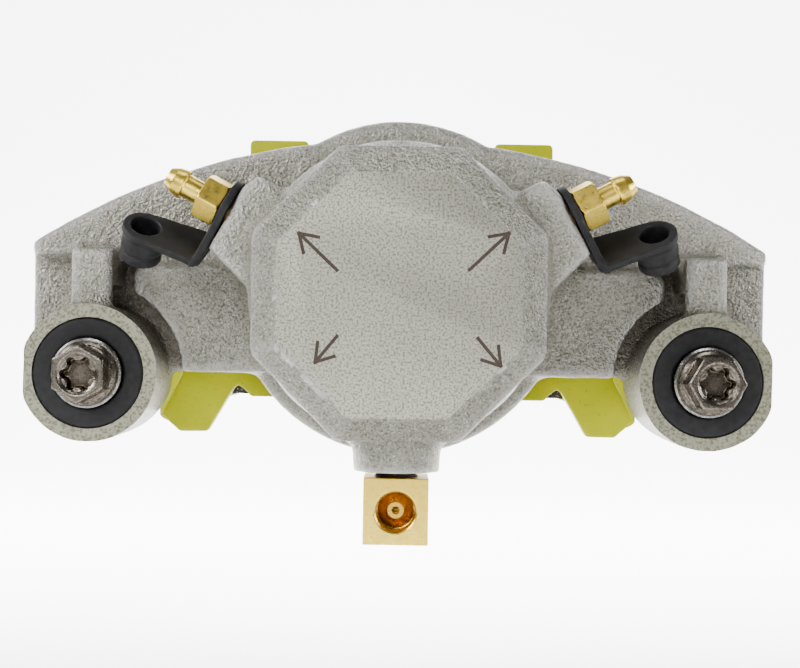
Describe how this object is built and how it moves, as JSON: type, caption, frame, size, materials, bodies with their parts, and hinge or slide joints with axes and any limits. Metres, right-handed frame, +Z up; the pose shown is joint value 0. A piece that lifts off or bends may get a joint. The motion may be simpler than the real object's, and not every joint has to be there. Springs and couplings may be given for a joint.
{
  "type": "brake caliper",
  "caption": "Floating disc brake caliper with a single piston, guide bolts, bleed screws with dust caps, a brake-line inlet and brake pads.",
  "frame": {"origin": "midway between the two guide bolts, in the plane of the bracket face that the sleeves rest on", "axes": "+X from the left bolt to the right bolt seen from the inboard side, +Y outboard along the piston's axis towards the rotor, +Z up away from the wheel's axis"},
  "size_m": [0.1692, 0.118, 0.0989],
  "materials": {
    "casting": "coated sand casting with machined faces",
    "steel": "bright plated",
    "piston_steel": "ground",
    "rubber": "moulded, slight sheen",
    "brass": "machined",
    "pad_plate": "yellow-green passivated steel",
    "friction": "pressed friction material"
  },
  "bodies": {
    "guide_pins": {"guide_bolt_left": "steel", "guide_bolt_right": "steel", "guide_sleeve_left": "steel", "guide_sleeve_right": "steel"},
    "caliper": {"caliper_housing": "casting", "piston_seal": "rubber", "dust_boot": "rubber", "boot_retaining_ring": "steel", "outer_pad_plate": "pad_plate", "outer_pad_lining": "friction", "inlet_fitting": "brass", "flare_seat": "brass", "front_bushing_left": "rubber", "rear_bushing_left": "rubber", "front_bushing_right": "rubber", "rear_bushing_right": "rubber"},
    "piston": {"piston": "piston_steel", "inner_pad_plate": "pad_plate", "inner_pad_lining": "friction", "inner_pad_spring": "steel"},
    "bleed_screw_left": {"bleed_screw_left": "brass"},
    "bleed_cap_left": {"bleed_cap_left": "rubber"},
    "bleed_screw_right": {"bleed_screw_right": "brass"},
    "bleed_cap_right": {"bleed_cap_right": "rubber"}
  },
  "joints": [
    {"name": "caliper_slide", "type": "slide", "parent": "guide_pins", "child": "caliper", "axis": [0, 1, 0], "range_m": [-0.01, 0.0015]},
    {"name": "piston_slide", "type": "slide", "parent": "caliper", "child": "piston", "axis": [0, 1, 0], "range_m": [0, 0.02], "deforming": ["dust_boot"]},
    {"name": "bleed_screw_left_turn", "type": "hinge", "parent": "caliper", "child": "bleed_screw_left", "pos_m": [-0.0373, -0.03, 0.0365], "axis": [-0.8836, 0, 0.4683], "range_deg": [0, 270]},
    {"name": "bleed_cap_left_swing", "type": "hinge", "parent": "caliper", "child": "bleed_cap_left", "pos_m": [-0.0373, -0.03, 0.0365], "axis": [-0.8836, 0, 0.4683], "range_deg": [0, 60]},
    {"name": "bleed_screw_right_turn", "type": "hinge", "parent": "caliper", "child": "bleed_screw_right", "pos_m": [0.0373, -0.03, 0.0365], "axis": [0.8836, 0, 0.4683], "range_deg": [0, 270]},
    {"name": "bleed_cap_right_swing", "type": "hinge", "parent": "caliper", "child": "bleed_cap_right", "pos_m": [0.0373, -0.03, 0.0365], "axis": [0.8836, 0, 0.4683], "range_deg": [-60, 0]}
  ]
}
